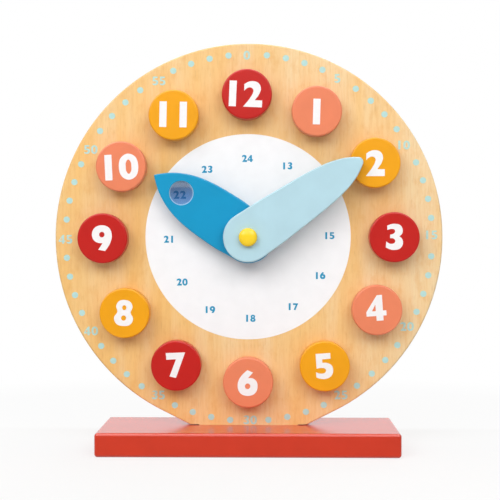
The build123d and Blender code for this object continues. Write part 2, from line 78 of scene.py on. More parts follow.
DIAL_CENTRE = Vector(frame["joints"][0]["pos_m"])
DISC_RADIUS, _, DISC_FRONT = extent("number_disc_12")


# --- Colours, nodes and materials ---------------------------------------------------


def colour(code):
    """An sRGB hex value as linear red, green, blue and alpha."""
    parts = [int(code[place : place + 2], 16) / 255 for place in (1, 3, 5)]
    linear = [p / 12.92 if p <= 0.04045 else ((p + 0.055) / 1.055) ** 2.4 for p in parts]
    return (*linear, 1.0)


def darker(tint, share):
    """A colour with its light cut by a share, such as where a finish lies thicker."""
    return (*(part * (1 - share) for part in tint[:3]), 1.0)


def add_node(tree, kind, *values, **named):
    """Adds a node, its kind given without ShaderNode. Unnamed values fill the sockets in
    use, in order. A name in small letters is a setting, and one with a capital is a socket,
    with _ for a space. A node given as a value stands for its first output in use."""
    node = tree.nodes.new("ShaderNode" + kind)
    for name, value in named.items():
        if name[0].islower():
            setattr(node, name, value)
    given = list(zip((socket for socket in node.inputs if socket.enabled), values))
    for name, value in named.items():
        if name[0].isupper():
            given.append((node.inputs[name.replace("_", " ")], value))
    for socket, value in given:
        if isinstance(value, bpy.types.Node):
            value = next(output for output in value.outputs if output.enabled)
        if isinstance(value, bpy.types.NodeSocket):
            tree.links.new(value, socket)
        else:
            socket.default_value = value
    return node


def new_material(name):
    """An empty node material in place of one of the same name, its nodes, and the Object
    coordinates that its patterns lie on."""
    old = bpy.data.materials.get(name)
    if old:
        bpy.data.materials.remove(old)
    material = bpy.data.materials.new(name)
    material.use_nodes = True
    tree = material.node_tree
    tree.nodes.clear()
    return material, tree, add_node(tree, "TexCoord").outputs["Object"]


def from_axis(tree, place, centre):
    """Each point's place right and up of a centre, and its distance from the axis that
    stands out of the dial there."""
    moved = (-centre.x, 0.0, -centre.z)
    flat = add_node(tree, "Mapping", place, Location=moved, Scale=(1.0, 0.0, 1.0))
    return flat, add_node(tree, "VectorMath", flat, operation="LENGTH")


def dress(node, material):
    """Gives a shown CAD node its finish."""
    for slot in NODES[node].material_slots:
        slot.material = material


def clear_lacquered_birch_plywood(settings):
    """Rotary-cut birch plywood, sanded and clear lacquered: a golden face with long soft
    bands, finer vertical figure and short dark pores under a satin film, and on the rim
    seven plies, every other one darker end grain."""
    material, tree, place = new_material("clear_lacquered_birch_plywood")
    # Bands as wide as growth zones in the veneer, 20 mm, running the whole height.
    wide = add_node(tree, "Mapping", place, Scale=(50.0, 50.0, 5.0))
    bands = add_node(tree, "TexNoise", wide, Scale=1.0, Detail=2.0, Distortion=0.3)
    bands = add_node(tree, "MapRange", bands, 0.3, 0.66, 0.0, 0.8)
    # The veneer is mixed warmer towards the left.
    slope = add_node(tree, "VectorMath", place, (-2.4, 0.0, 0.0), operation="DOT_PRODUCT")
    slope = add_node(tree, "Math", slope, 0.12, operation="ADD")
    bands = add_node(tree, "Math", bands, slope, operation="ADD", use_clamp=True)
    wood = add_node(tree, "Mix", bands, settings.wood_pale, settings.wood_warm, data_type="RGBA")
    # Warm blotches 8 mm across, where the knife tore and the lacquer soaked in.
    patches = add_node(tree, "Mapping", place, Scale=(150.0, 150.0, 85.0))
    blotches = add_node(tree, "TexNoise", patches, Scale=1.0, Detail=4.0, Roughness=0.62)
    blotches = add_node(tree, "MapRange", blotches, 0.5, 0.72, 0.0, 0.42)
    wood = add_node(tree, "Mix", blotches, wood, settings.wood_figure, data_type="RGBA")
    # Painted shade: round the upper discs, within 108 mm of the centre and fading out below it,
    # the wood is mixed towards the darker, warmer figure colour, as if in the discs' shadows.
    soft, painted_shade_share = "SMOOTHSTEP", 0.32
    flat, out = from_axis(tree, place, DIAL_CENTRE)
    inwards = add_node(tree, "MapRange", out, 108 * MM, 86 * MM, interpolation_type=soft)
    up = add_node(tree, "SeparateXYZ", flat).outputs["Z"]
    upwards = add_node(
        tree, "MapRange", up, -35 * MM, 10 * MM, 0.0, painted_shade_share, interpolation_type=soft
    )
    painted_shade = add_node(tree, "Math", inwards, upwards, operation="MULTIPLY")
    wood = add_node(tree, "Mix", painted_shade, wood, settings.wood_figure, data_type="RGBA")
    # Figure lines 1.6 mm apart and 25 mm long.
    lines = add_node(tree, "Mapping", place, Scale=(620.0, 620.0, 40.0))
    figure = add_node(
        tree, "TexNoise", lines, Scale=1.0, Detail=3.0, Roughness=0.6, Distortion=0.25
    )
    figure_share = 0.3
    strands = add_node(tree, "MapRange", figure, 0.42, 0.74)
    strands = add_node(tree, "Math", strands, figure_share, operation="MULTIPLY")
    wood = add_node(tree, "Mix", strands, wood, settings.wood_figure, data_type="RGBA")
    # Pores are 0.1 mm wide; drawn 0.6 mm wide, so that they show.
    pore_share = 0.3
    dashes = add_node(tree, "Mapping", place, Scale=(1500.0, 1500.0, 130.0))
    pores = add_node(tree, "TexNoise", dashes, Scale=1.0, Detail=2.0, Roughness=0.55)
    pores = add_node(tree, "MapRange", pores, 0.56, 0.8)
    specks = add_node(tree, "Math", pores, pore_share, operation="MULTIPLY")
    wood = add_node(tree, "Mix", specks, wood, settings.wood_pore, data_type="RGBA")
    # Seven plies from face to face: the second, fourth and sixth lie crosswise.
    low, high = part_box("dial_board")
    ply_count = 7 / (high.y - low.y)
    first = -low.y * ply_count - 0.5
    depth = add_node(tree, "SeparateXYZ", place).outputs["Y"]
    count = add_node(tree, "Math", depth, ply_count, first, operation="MULTIPLY_ADD")
    turn = add_node(tree, "Math", count, 1.0, operation="PINGPONG")
    crosswise = add_node(tree, "MapRange", turn, 0.62, 0.78)
    fibres = add_node(tree, "Mapping", place, Scale=(900.0, 2500.0, 900.0))
    end_grain = add_node(tree, "TexNoise", fibres, Scale=1.0, Detail=2.0)
    ply_dark, ply_light = settings.ply_dark, settings.wood_figure
    ply = add_node(tree, "Mix", end_grain, ply_dark, ply_light, data_type="RGBA")
    ply_share = 0.8
    inside = add_node(tree, "Math", crosswise, ply_share, operation="MULTIPLY")
    wood = add_node(tree, "Mix", inside, wood, ply, data_type="RGBA")
    relief = add_node(tree, "Math", pores, -1.0, figure, operation="MULTIPLY_ADD")
    bump = add_node(tree, "Bump", Strength=0.12, Distance=0.05 * MM, Height=relief)
    rough = add_node(tree, "MapRange", figure, 0.3, 0.8, 0.34, 0.46)
    surface = add_node(
        tree, "BsdfPrincipled", Base_Color=wood, Roughness=rough, IOR=1.5, Normal=bump,
        Coat_Weight=0.25, Coat_Roughness=0.3,
    )
    add_node(tree, "OutputMaterial", surface)
    return material


def sprayed_lacquer(name, tint, roughness, coat, peel, coat_roughness=0.08):
    """Pigmented lacquer sprayed on sanded wood: one even colour that drifts a little in
    thickness, faint grain showing through, and orange peel about 1.5 mm apart."""
    material, tree, place = new_material(name)
    clouds = add_node(tree, "TexNoise", place, Scale=70.0, Detail=3.0)
    drift = add_node(tree, "MapRange", clouds, 0.3, 0.7)
    paint = add_node(tree, "Mix", drift, tint, darker(tint, 0.06), data_type="RGBA")
    fibres = add_node(tree, "Mapping", place, Scale=(700.0, 700.0, 45.0))
    grain = add_node(tree, "TexNoise", fibres, Scale=1.0, Detail=2.0)
    orange_peel = add_node(tree, "TexNoise", place, Scale=650.0, Detail=1.0)
    height = add_node(tree, "Math", grain, 0.35, orange_peel, operation="MULTIPLY_ADD")
    bump = add_node(tree, "Bump", Strength=peel, Distance=0.04 * MM, Height=height)
    surface = add_node(
        tree, "BsdfPrincipled", Base_Color=paint, Roughness=roughness, IOR=1.5, Normal=bump,
        Coat_Weight=coat, Coat_Roughness=coat_roughness,
    )
    add_node(tree, "OutputMaterial", surface)
    return material


def screen_ink(name, tint, spread=260.0):
    """Screen-printed ink: matt and opaque, a little uneven where the mesh laid it down."""
    material, tree, place = new_material(name)
    lay = add_node(tree, "TexNoise", place, Scale=spread, Detail=3.0)
    lay = add_node(tree, "MapRange", lay, 0.35, 0.7)
    ink = add_node(tree, "Mix", lay, tint, darker(tint, 0.03), data_type="RGBA")
    mesh_marks = add_node(tree, "TexNoise", place, Scale=2400.0, Detail=1.0)
    bump = add_node(tree, "Bump", Strength=0.08, Distance=0.02 * MM, Height=mesh_marks)
    surface = add_node(
        tree, "BsdfPrincipled", Base_Color=ink, Roughness=0.5, IOR=1.48, Normal=bump
    )
    add_node(tree, "OutputMaterial", surface)
    return material


def polished_clear_acrylic(settings, centre, ground_from):
    """Turned acrylic: a polished dome with a blue tint and a few hairlines, and round it, from a
    radius outwards, a ground seat that scatters the light white. The tint is partly painted shade:
    it is deep enough to darken the dial seen through the dome as the hand's shade would."""
    material, tree, place = new_material("polished_clear_acrylic")
    hairlines = add_node(tree, "TexNoise", place, Scale=900.0, Detail=2.0)
    rough = add_node(tree, "MapRange", hairlines, 0.3, 0.7, 0.02, 0.05)
    out = from_axis(tree, place, centre)[1]
    fade = 0.1 * MM
    ground = add_node(tree, "MapRange", out, ground_from - fade, ground_from + fade)
    matt = add_node(tree, "Math", ground, 0.45, rough, operation="MULTIPLY_ADD")
    passed = add_node(tree, "MapRange", ground, 0.0, 1.0, 1.0, 0.25)
    # Painted shade, in part: the blue tint darkens the dial seen through the window.
    stained = add_node(
        tree, "Mix", ground, settings.window_tint, settings.window_ground, data_type="RGBA"
    )
    body = add_node(
        tree, "BsdfPrincipled", Base_Color=stained, Roughness=matt, IOR=1.49,
        Transmission_Weight=passed, Coat_Weight=0.85, Coat_Roughness=0.24,
    )
    clear = add_node(tree, "BsdfTransparent", Color=settings.window_tint)
    rays = add_node(tree, "LightPath").outputs
    mixed = add_node(tree, "MixShader", rays["Is Shadow Ray"], body, clear)
    add_node(tree, "OutputMaterial", mixed)
    return material


def moulded_plastic(name, tint, roughness, texture_scale, relief):
    """Injection-moulded plastic: even colour, a spark-eroded skin and soft gloss."""
    material, tree, place = new_material(name)
    flow = add_node(tree, "TexNoise", place, Scale=55.0, Detail=2.0)
    resin = add_node(tree, "Mix", flow, tint, darker(tint, 0.07), data_type="RGBA")
    eroded = add_node(tree, "TexNoise", place, Scale=texture_scale, Detail=2.0)
    bump = add_node(tree, "Bump", Strength=relief, Distance=0.05 * MM, Height=eroded)
    surface = add_node(
        tree, "BsdfPrincipled", Base_Color=resin, Roughness=roughness, IOR=1.46, Normal=bump
    )
    add_node(tree, "OutputMaterial", surface)
    return material


def zinc_plated_steel(settings):
    """Turned steel, zinc plated: cool grey with fine lathe marks and cloudy passivation."""
    material, tree, place = new_material("zinc_plated_steel")
    clouds = add_node(tree, "TexNoise", place, Scale=300.0, Detail=3.0)
    plated = add_node(tree, "Mix", clouds, settings.steel, settings.steel_shade, data_type="RGBA")
    lathe = add_node(tree, "Mapping", place, Scale=(300.0, 4000.0, 300.0))
    marks = add_node(tree, "TexNoise", lathe, Scale=1.0, Detail=1.0)
    rough = add_node(tree, "MapRange", marks, 0.2, 0.8, 0.22, 0.4)
    bump = add_node(tree, "Bump", Strength=0.15, Distance=0.02 * MM, Height=marks)
    surface = add_node(
        tree, "BsdfPrincipled", Base_Color=plated, Metallic=1.0, Roughness=rough, Normal=bump
    )
    add_node(tree, "OutputMaterial", surface)
    return material


def beech_dowel(settings):
    """Plain beech dowel: pinkish tan with short dark flecks along its length."""
    material, tree, place = new_material("beech_dowel")
    along = add_node(tree, "Mapping", place, Scale=(1600.0, 180.0, 1600.0))
    flecks = add_node(tree, "TexNoise", along, Scale=1.0, Detail=2.0)
    even = add_node(tree, "MapRange", flecks, 0.4, 0.72)
    wood = add_node(tree, "Mix", even, settings.peg, settings.peg_fleck, data_type="RGBA")
    bump = add_node(tree, "Bump", Strength=0.3, Distance=0.05 * MM, Height=flecks)
    surface = add_node(
        tree, "BsdfPrincipled", Base_Color=wood, Roughness=0.62, IOR=1.5, Normal=bump
    )
    add_node(tree, "OutputMaterial", surface)
    return material


def white_paper_floor():
    """Seamless white paper, lit to white where it is seen, faded in beyond the shadow."""
    material, tree, place = new_material("white_paper_floor")
    distance = add_node(tree, "VectorMath", place, operation="LENGTH")
    lit = add_node(tree, "MapRange", distance, 120 * MM, 400 * MM, 0.7, 1.0)
    # Behind the board nothing dark is left on the paper.
    back = add_node(tree, "SeparateXYZ", place).outputs["Y"]
    behind = add_node(tree, "MapRange", back, 20 * MM, 80 * MM, 0.0, 0.9)
    lit = add_node(tree, "Math", lit, behind, operation="MAXIMUM")
    rays = add_node(tree, "LightPath").outputs
    camera, gloss = rays["Is Camera Ray"], rays["Is Glossy Ray"]
    seen = add_node(tree, "Math", camera, gloss, operation="MAXIMUM")
    seen = add_node(tree, "Math", seen, rays["Is Transmission Ray"], operation="MAXIMUM")
    shown = add_node(tree, "Math", lit, gloss, operation="MAXIMUM")
    share = add_node(tree, "Math", seen, shown, operation="MULTIPLY")
    # The paper throws less light up than it shows, as if flagged off with black cloth.
    tone = add_node(tree, "Mix", seen, colour("#D0D0D0"), colour("#F4F4F4"), data_type="RGBA")
    paper = add_node(tree, "BsdfDiffuse", Color=tone)
    # In front of the plank the paper shows dim in reflections, as if black cloth lay there out of
    # sight, and keeps the plank's face deep red.
    cloth = add_node(tree, "MapRange", back, -36 * MM, -30 * MM, 0.1, 1.0)
    dimmed = add_node(tree, "Math", camera, cloth, operation="MAXIMUM")
    glow = add_node(tree, "Emission", Color=WHITE, Strength=dimmed)
    mixed = add_node(tree, "MixShader", share, paper, glow)
    add_node(tree, "OutputMaterial", mixed)
    return material


# --- Surfaces -----------------------------------------------------------------------


def on_dial(points):
    """Points given as right, up and out of the dial, from its centre, in the frame."""
    right, up, out = np.moveaxis(np.asarray(points, float), -1, 0)
    return np.stack((DIAL_CENTRE.x + right, DIAL_CENTRE.y - out, DIAL_CENTRE.z + up), axis=-1)


def turned(profile, columns=96):
    """Points of a turned shape about the dial's axis: each profile point, a radius and a
    height, goes round a full circle: right is radius times sine of the turn, up is
    radius times its cosine, and out is the height."""
    radius, height = np.asarray(profile, float).T
    turn = np.linspace(0, 2 * math.pi, columns, endpoint=False)
    out = np.repeat(height[:, None], columns, axis=1)
    return np.stack((radius[:, None] * np.sin(turn), radius[:, None] * np.cos(turn), out), axis=-1)


def quarter(centre, radius, start, end, steps=6):
    """Arc of a profile: centre plus radius times cosine and sine, from start to end."""
    angle = np.radians(np.linspace(start, end, steps + 1))
    return centre + radius * np.stack((np.cos(angle), np.sin(angle)), axis=-1)


def close_mesh(mesh):
    """Merges points that meet at poles and seams and turns the faces outwards."""
    work = bmesh.new()
    work.from_mesh(mesh)
    bmesh.ops.remove_doubles(work, verts=work.verts, dist=1e-7)
    bmesh.ops.dissolve_degenerate(work, edges=work.edges, dist=1e-8)
    bmesh.ops.recalc_face_normals(work, faces=work.faces)
    work.to_mesh(mesh)
    work.free()


def new_object(name, data):
    """Puts an object in the scene in place of one of the same name."""
    old = bpy.data.objects.get(name)
    if old:
        bpy.data.objects.remove(old)
    made = bpy.data.objects.new(name, data)
    bpy.context.scene.collection.objects.link(made)
    return made


def add_piece(name, mesh, material, body, stands_for=(), smooth=True):
    """Puts a finished mesh in the scene with its finish, riding on its body."""
    mesh.materials.clear()
    mesh.materials.append(material)
    mesh.polygons.foreach_set("use_smooth", np.full(len(mesh.polygons), smooth))
    piece = new_object(name, mesh)
    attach(piece, body)
    if stands_for:
        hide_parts(*stands_for)


def skin(name, points, close_rows=False):
    """Mesh of one or more grids of points, rows by columns: four-sided faces between
    neighbours, columns closed into rings, and rows too if asked."""
    grids = np.asarray(points, float)
    grids = grids.reshape(-1, *grids.shape[-3:])
    count, rows, columns = grids.shape[:3]
    index = np.arange(rows * columns).reshape(rows, columns)
    above = np.roll(index, -1, axis=0)
    if not close_rows:
        index, above = index[:-1], above[:-1]
    faces = np.stack(
        (index, np.roll(index, -1, axis=1), np.roll(above, -1, axis=1), above), axis=-1
    ).reshape(-1, 4)
    faces = (faces[None] + np.arange(count)[:, None, None] * rows * columns).reshape(-1, 4)
    mesh = bpy.data.meshes.new(name)
    mesh.from_pydata(on_dial(grids).reshape(-1, 3), [], faces)
    close_mesh(mesh)
    return mesh


# --- Numerals -----------------------------------------------------------------------

# Outlines in hundredths of a numeral's height, centred. A point with a third value is a
# corner; the curve runs smoothly through the others.
NUMERALS = {
    "0": ((
        (0, 51), (23, 42), (38, 0), (23, -42), (0, -51), (-23, -42), (-38, 0), (-23, 42),
    ), (
        (0, 28), (8, 20), (11, 0), (8, -20), (0, -28), (-8, -20), (-11, 0), (-8, 20),
    )),
    "1": ((
        (-14, -50, 1), (-14, 50, 1), (14, 50, 1), (14, -50, 1),
    ),),
    "2": ((
        (-35, 38, 1), (-21, 47), (-3, 51), (19, 45), (30, 24), (25, 3), (8, -23, 1), (37, -23, 1),
        (37, -50, 1), (-37, -50, 1), (-12, -17), (-1, 4), (1, 16), (-5, 24), (-14, 26), (-26, 21),
        (-35, 12, 1),
    ),),
    "3": ((
        (-27, 45, 1), (-14, 50), (1, 52), (24, 46), (33, 26), (30, 13), (20, 3, 1), (30, -6),
        (34, -20), (25, -42), (-1, -50), (-18, -47), (-33, -40, 1), (-31, -17, 1), (-20, -24),
        (-9, -26), (1, -22), (4, -15), (-2, -6), (-16, -4, 1), (-16, 10, 1), (-4, 13), (3, 21),
        (1, 29), (-7, 32), (-17, 31), (-27, 28, 1),
    ),),
    "4": ((
        (4, 50, 1), (24, 50, 1), (24, -11, 1), (37, -11, 1), (37, -31, 1), (24, -31, 1),
        (24, -50, 1), (-3, -50, 1), (-3, -31, 1), (-41, -31, 1), (-41, -14, 1),
    ), (
        (-4, 14, 1), (-19, -12, 1), (-4, -12, 1),
    )),
    "5": ((
        (-30, 50, 1), (27, 50, 1), (27, 28, 1), (-6, 27, 1), (-6, 14, 1), (12, 12), (28, 3),
        (34, -17), (25, -40), (0, -50), (-18, -48), (-33, -42, 1), (-33, -21, 1), (-20, -27),
        (-8, -28), (3, -24), (6, -16), (1, -9), (-12, -6), (-30, -8, 1),
    ),),
    "6": ((
        (-1, 51, 1), (21, 41, 1), (2, 20, 1), (18, 19), (34, 8), (39, -11), (29, -40), (0, -50),
        (-28, -40), (-39, -9), (-34, 13), (-21, 32),
    ), (
        (0, -1.5), (10.5, -12.5), (0, -23.5), (-10.5, -12.5),
    )),
    "7": ((
        (-36, 49, 1), (40, 48, 1), (-1, -50, 1), (-26, -43, 1), (3, 23, 1), (-35, 23, 1),
    ),),
    "8": ((
        (0, 51), (24, 43), (32, 25), (26, 4), (37.5, -22), (27, -44), (0, -51), (-27, -44),
        (-37.5, -22), (-26, 4), (-32, 25), (-24, 43),
    ), (
        (0, 30), (8.3, 20.5), (0, 11), (-8.3, 20.5),
    ), (
        (0, -10), (10, -20), (0, -30), (-10, -20),
    )),
    "9": ((
        (0, 51), (28, 41), (39, 10), (32, -20), (13, -50, 1), (-14, -45, 1), (3, -19, 1),
        (-14, -18), (-32, -7), (-39, 14), (-29, 40),
    ), (
        (0, 25), (10.5, 14.5), (0, 3.5), (-10.5, 14.5),
    )),
}


def smooth_outline(points, steps=10):
    """A closed curve through the given points. Between two points it is the cubic with
    their two tangents: at a smooth point the tangent blends the directions to both
    neighbours by their distances, at a corner it points straight at the neighbour. Its
    length is twice the points' distance over one plus the cosine of its angle to the
    straight line, which makes a round arc between two points of a circle."""
    here = np.array([point[:2] for point in points], float)
    corner = np.array([[len(point) > 2] for point in points])
    ahead, behind = np.roll(here, -1, axis=0), np.roll(here, 1, axis=0)
    reach = np.linalg.norm(ahead - here, axis=1, keepdims=True)
    back = np.linalg.norm(here - behind, axis=1, keepdims=True)
    forward, backward = (ahead - here) / reach, (here - behind) / back
    blended = forward * back + backward * reach
    blended = blended / np.maximum(np.linalg.norm(blended, axis=1, keepdims=True), 1e-9)
    leaving = np.where(corner, forward, blended)
    arriving = np.roll(np.where(corner, backward, blended), -1, axis=0)
    leaving = leaving * 2 * reach / (1 + np.sum(leaving * forward, axis=1, keepdims=True))
    arriving = arriving * 2 * reach / (1 + np.sum(arriving * forward, axis=1, keepdims=True))
    t = np.linspace(0, 1, steps, endpoint=False)[None, :, None]
    curve = (
        here[:, None] * (2 * t**3 - 3 * t**2 + 1)
        + leaving[:, None] * (t**3 - 2 * t**2 + t)
        + ahead[:, None] * (3 * t**2 - 2 * t**3)
        + arriving[:, None] * (t**3 - t**2)
    )
    return curve.reshape(-1, 2)


def thinned(outline, amount, hole):
    """The outline moved into the ink by an amount: each point goes along the mean of its
    two edges' normals, further at a corner so that both edges move evenly."""
    ahead, behind = np.roll(outline, -1, axis=0), np.roll(outline, 1, axis=0)
    area = np.sum(outline[:, 0] * ahead[:, 1] - ahead[:, 0] * outline[:, 1])
    inwards = math.copysign(1.0, area) * (-1.0 if hole else 1.0)
    edges = np.stack((outline - behind, ahead - outline))
    edges = edges / np.maximum(np.linalg.norm(edges, axis=-1, keepdims=True), 1e-9)
    normals = np.stack((-edges[..., 1], edges[..., 0]), axis=-1) * inwards
    mean = normals.sum(axis=0)
    mean = mean / np.maximum(np.linalg.norm(mean, axis=-1, keepdims=True), 1e-9)
    miter = np.maximum(np.sum(mean * normals[1], axis=-1, keepdims=True), 0.5)
    return outline + mean / miter * amount


def numeral(text, height, advance, thin=0.0):
    """Outlines of a number centred on the origin, in metres: each digit's own outlines,
    thinned by a share of the height and grown back to it, one advance after the other."""
    grow = height / 100 / (1 - 2 * thin)
    first = -advance * height * (len(text) - 1) / 2
    outlines = []
    for place, digit in enumerate(text):
        for number, points in enumerate(NUMERALS[digit]):
            outline = thinned(smooth_outline(points), thin * 100, number > 0)
            outlines.append(outline * grow + (first + place * advance * height, 0.0))
    return outlines


def laid_at(outlines, right, up, tilt=0.0):
    """Outlines turned clockwise by a tilt in degrees and moved to a place."""
    c, s = math.cos(math.radians(tilt)), math.sin(math.radians(tilt))
    return [outline @ np.array(((c, -s), (s, c))) + (right, up) for outline in outlines]


def ink_mesh(name, outlines, low, high):
    """Raised ink: a flat curve filled between its outlines, counters left open, as thick
    as low to high above the dial's face."""
    curve = bpy.data.curves.new(name, "CURVE")
    curve.dimensions = "2D"
    curve.fill_mode = "BOTH"
    curve.extrude = (high - low) / 2
    for outline in outlines:
        spline = curve.splines.new("POLY")
        spline.points.add(len(outline) - 1)
        flat = np.zeros((len(outline), 4))
        flat[:, :2], flat[:, 3] = outline, 1.0
        spline.points.foreach_set("co", flat.ravel())
        spline.use_cyclic_u = True
    carrier = new_object(name + "_curve", curve)
    bpy.context.view_layer.update()
    shown = carrier.evaluated_get(bpy.context.evaluated_depsgraph_get())
    mesh = bpy.data.meshes.new_from_object(shown)
    bpy.data.objects.remove(carrier)
    bpy.data.curves.remove(curve)
    points = np.empty(len(mesh.vertices) * 3)
    mesh.vertices.foreach_get("co", points)
    points = points.reshape(-1, 3) + (0.0, 0.0, (low + high) / 2)
    mesh.vertices.foreach_set("co", on_dial(points).ravel())
    mesh.name = name
    close_mesh(mesh)
    return mesh


# --- Settings -----------------------------------------------------------------------


def colour_field(name, description, code):
    """A colour that a user may change, its default an sRGB hex value."""
    return FloatVectorProperty(
        name=name, description=description, subtype="COLOR", size=4, min=0, max=1,
        default=colour(code),
    )


def number_field(name, description, default, low, high, unit="NONE"):
    """A number that a user may change, with its limits."""
    return FloatProperty(
        name=name, description=description, unit=unit, default=default, min=low, max=high
    )


def length_field(name, description, default, low, high):
    """A length that a user may change, with its limits, given in millimetres."""
    return number_field(name, description, default * MM, low * MM, high * MM, "LENGTH")


class ClockBoardSettings(bpy.types.PropertyGroup):
    """The plywood board and the plank it stands in."""

    wood_pale: colour_field("Pale wood", "Pale bands of the face veneer", "#F1D5A6")
    wood_warm: colour_field("Warm wood", "Golden bands of the face veneer", "#F1C277")
    # The figure colour is also the painted shade round the upper discs.
    wood_figure: colour_field("Figure", "Orange figure lines in the veneer", "#E2A452")
    wood_pore: colour_field("Pores", "Short dark pores in the veneer", "#B47636")
    ply_dark: colour_field("Cross plies", "End grain of the cross plies on the rim", "#9A6A3C")
    plank: colour_field("Plank lacquer", "Red gloss lacquer of the plank", "#D33B22")


class ClockPrintSettings(bpy.types.PropertyGroup):
    """Everything printed on the board."""

    circle_radius: length_field("Circle radius", "Radius of the white circle", 66.2, 20, 75)
    arbor_hole: length_field("Hole", "Radius of the bare hole in the circle's middle", 5.9, 4, 9)
    hour_ring: length_field("Hour ring", "Radius of the ring of hours 13 to 24", 51.7, 20, 60)
    hour_height: length_field("Hour numbers", "Height of the numbers 13 to 24", 4.5, 2, 10)
    minute_ring: length_field("Minute ring", "Radius of the ring of minute dots", 118.2, 100, 122)
    minute_height: length_field("Minute numbers", "Height of the numbers 0 to 55", 5.6, 2, 10)
    dot_radius: length_field("Dot radius", "Radius of a minute dot", 2.02, 0.5, 4)
    ink_thickness: length_field(
        "Ink thickness", "How far a print stands out of what it is on", 0.05, 0.01, 0.3
    )
    circle: colour_field("Circle", "White ink of the circle", "#F4F4F5")
    hour_ink: colour_field("Hour ink", "Blue ink of the numbers 13 to 24", "#0094BE")
    minute_ink: colour_field("Minute ink", "Pale aqua ink of the minute marks", "#B3DAD6")


class ClockDiscSettings(bpy.types.PropertyGroup):
    """The twelve number discs and their pegs."""

    radius: length_field("Radius", "Radius of a number disc", DISC_RADIUS / MM, 5, 20)
    thickness: length_field("Thickness", "Thickness of a number disc", DISC_FRONT / MM, 3, 15)
    edge: length_field("Edge radius", "Rounding of a disc's two edges", 1, 0.2, 3)
    numeral_height: length_field("Numeral height", "Height of the white numerals", 16.3, 5, 25)
    red: colour_field("Red", "Red discs", "#C61A12")
    coral: colour_field("Coral", "Coral discs", "#EE865F")
    yellow: colour_field("Yellow", "Yellow discs", "#F4A500")
    numeral: colour_field("Numeral", "White ink of the numerals", "#F3F0F0")
    peg: colour_field("Peg", "Beech of the pegs", "#DDB78D")
    peg_fleck: colour_field("Peg flecks", "Dark flecks in the beech", "#B98B5E")


class ClockHandSettings(bpy.types.PropertyGroup):
    """The two hands, the hour hand's window and the knob."""

    hour: colour_field("Hour hand", "Blue lacquer of the hour hand", "#0098C8")
    minute: colour_field("Minute hand", "Pale blue lacquer of the minute hand", "#B7DAE5")
    # The window's tint is partly painted shade, darkening the dial seen through it.
    window_tint: colour_field("Window", "Tint of the clear window", "#A8C9E9")
    window_ground: colour_field("Window seat", "Ground acrylic round the window", "#DEEAF6")
    knob: colour_field("Knob", "Yellow of the knob", "#FFD92A")
    knob_dome: length_field("Knob dome", "Rise of the knob's domed front", 2.4, 0.2, 4)


class ClockWorksSettings(bpy.types.PropertyGroup):
    """The gear case, gears, nut, washer and screws."""

    case: colour_field("Case", "Plastic of the gear case", "#ECEBE6")
    gear: colour_field("Gears", "Natural acetal of the gears", "#F2F0E6")
    steel: colour_field("Steel", "Bright zinc plate", "#C9CCD0")
    steel_shade: colour_field("Steel, clouds", "Duller zinc plate", "#A9ADB3")


class ClockStageSettings(bpy.types.PropertyGroup):
    """Floor, lights and camera."""

    floor_size: length_field("Floor", "Radius of the floor", 4000, 500, 10000)
    skylight: number_field("Skylight", "Strength of the light from straight above", 0.59, 0, 3)
    strip: number_field("Strip light", "Strength of the strip seen in gloss only", 4, 0, 20)
    key: number_field("Key lamp", "Power of the lamp at the upper left", 15.1, 0, 100, "POWER")
    overhead: number_field(
        "Overhead lamp", "Power of the wide soft box above the camera", 32.2, 0, 100, "POWER"
    )
    side: number_field("Side lamp", "Power of the lamp at the upper right", 8.9, 0, 100, "POWER")
    rear: number_field("Rear lamp", "Power of the soft box behind", 28, 0, 100, "POWER")
    lens: number_field("Lens", "Focal length for a 36 mm sensor", 78.24, 20, 200, "CAMERA")


# --- Layout of the prints -----------------------------------------------------------

# The white circle and the ring of dots are this far right and up of the arbor, in
# millimetres, and the dots are turned this many degrees clockwise.
CIRCLE_PLACE = (-0.35, 0.4)
DOTS_PLACE = (0.0, -0.3)
DOTS_TURN = -0.25
# How far right and up of its even place on the ring each number is, in millimetres.
HOUR_LAYOUT = {
    13: (-1.0, 1.3), 14: (0.0, 0.5), 15: (0.3, 1.1), 16: (1.2, 1.2), 17: (2.6, 0.1),
    18: (1.0, -0.5), 19: (0.7, -1.9), 20: (1.9, -3.0), 21: (0.5, -1.2), 22: (0.6, 1.7),
    23: (-0.8, -0.9), 24: (-0.7, -0.8),
}
MINUTE_LAYOUT = {
    0: (-1.1, 0.2), 5: (-1.4, 0.8), 10: (-2.1, 0.8), 15: (0.1, 1.6), 20: (0.5, 1.2),
    25: (1.0, -0.1), 30: (1.0, -0.7), 35: (0.3, -0.4), 40: (-0.3, -1.9), 45: (-1.0, -1.2),
    50: (-0.5, -1.8), 55: (0.8, -0.5),
}
# Each disc's paint, the clockwise tilt of its numeral in degrees, as turned by small hands,
# and how far right and up of the disc's centre the numeral is printed, in millimetres.
DISCS = {
    1: ("coral", 1.7, -0.2, -0.5), 2: ("yellow", 0, -0.2, -0.5), 3: ("red", 0, -0.3, 0.0),
    4: ("coral", -4, -0.5, 1.4), 5: ("yellow", -4, -0.5, 0.2), 6: ("coral", 0, -0.3, -0.2),
    7: ("red", -3, -0.2, 0.5), 8: ("yellow", 4, -0.2, 0.2), 9: ("red", 0, -0.2, 0.0),
    10: ("coral", -2.7, -1.4, -0.5), 11: ("yellow", 1.2, -0.2, 0.2), 12: ("red", 2.5, -2.5, 0.0),
}
# From one digit to the next, as a share of the height.
RING_ADVANCE = 0.83
DISC_ADVANCE = 0.79


def ring_of_numbers(layout, step, ring, height, thin):
    """Outlines of upright numbers round a ring, each turned clockwise from the top by a
    step in degrees times itself and then moved as the layout says."""
    outlines = []
    for number, (right, up) in layout.items():
        turn = math.radians(step * number)
        outlines += laid_at(
            numeral(str(number), height, RING_ADVANCE, thin),
            ring * math.sin(turn) + right * MM,
            ring * math.cos(turn) + up * MM,
        )
    return outlines


# --- Operators ----------------------------------------------------------------------


